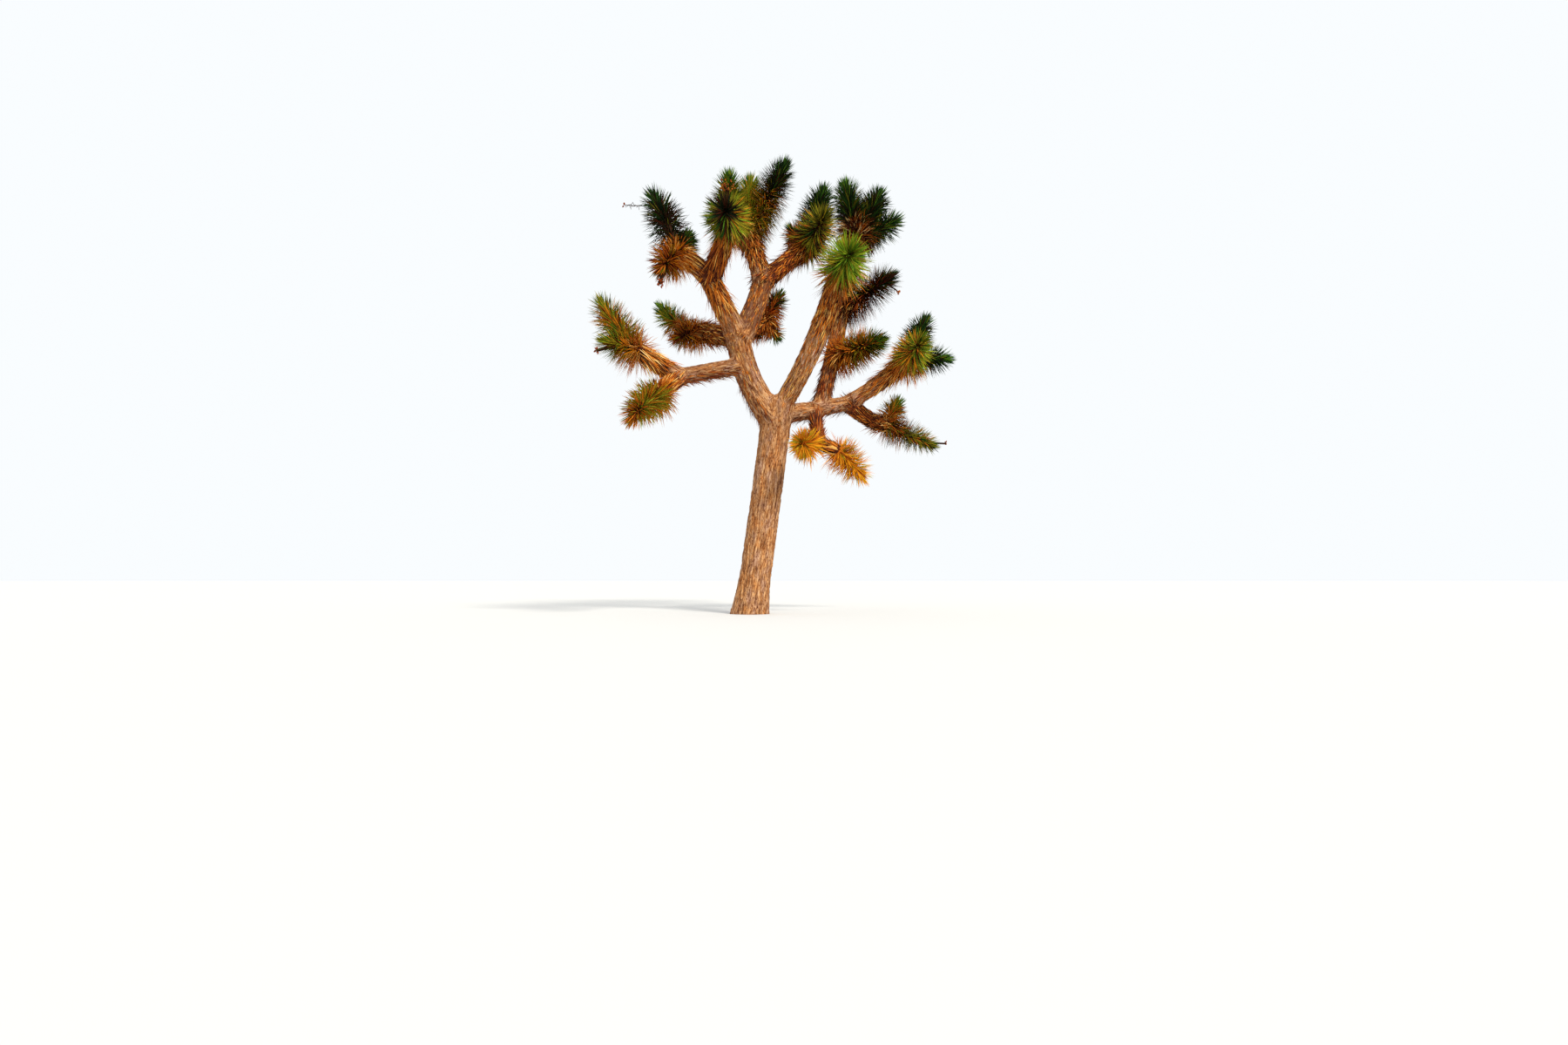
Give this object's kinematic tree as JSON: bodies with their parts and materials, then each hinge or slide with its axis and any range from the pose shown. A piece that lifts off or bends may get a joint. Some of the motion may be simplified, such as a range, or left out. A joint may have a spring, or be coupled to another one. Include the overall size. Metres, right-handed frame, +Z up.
{
  "type": "joshua tree",
  "caption": "Joshua tree with a leaning trunk, forked boughs clothed in thatch and club-shaped heads of dagger leaves.",
  "frame": {"origin": "middle of the trunk's flat cut at ground level", "axes": "+Z up, -Y towards the side the tree is usually seen from, +X to the right there; the trunk leans towards +X"},
  "size_m": [4.5889, 3.0032, 6.3288],
  "materials": {
    "bark": "rough",
    "leaves": "matt"
  },
  "bodies": {
    "root": {"trunk": "bark", "left_bough": "bark", "left_low_bough": "bark", "left_low_fork_outer": "bark", "left_low_fork_inner": "bark", "left_middle_bough": "bark", "upper_left_bough": "bark", "upper_left_fork_outer": "bark", "upper_left_fork_inner": "bark", "centre_bough": "bark", "centre_fork_left": "bark", "centre_fork_right": "bark", "centre_fork_back": "bark", "centre_spur": "bark", "right_bough": "bark", "right_low_bough": "bark", "right_low_fork_outer": "bark", "right_riser": "bark", "right_riser_top": "bark", "right_low_fork_inner": "bark", "right_drop_bough": "bark", "right_drop_fork": "bark", "right_drop_spur": "bark", "head_upper_left_top": "leaves", "head_upper_left_front": "leaves", "head_upper_left_small": "leaves", "head_top_front": "leaves", "head_top_tuft": "leaves", "head_top_middle": "leaves", "head_top_peak": "leaves", "head_top_back": "leaves", "head_centre_small": "leaves", "head_centre_up": "leaves", "head_centre_front": "leaves", "head_right_top": "leaves", "head_right_top_outer": "leaves", "head_right_far": "leaves", "head_right_front": "leaves", "head_right_side": "leaves", "head_right_lower_side": "leaves", "head_left_outer_up": "leaves", "head_left_outer_low": "leaves", "head_left_low": "leaves", "head_left_middle": "leaves", "head_left_middle_low": "leaves", "head_centre_spur_up": "leaves", "head_centre_spur_side": "leaves", "head_right_outer_up": "leaves", "head_right_outer_front": "leaves", "head_right_outer_side": "leaves", "head_right_inner_up": "leaves", "head_right_inner_side": "leaves", "head_low_spur_left": "leaves", "head_low_spur_right": "leaves"}
  },
  "joints": []
}
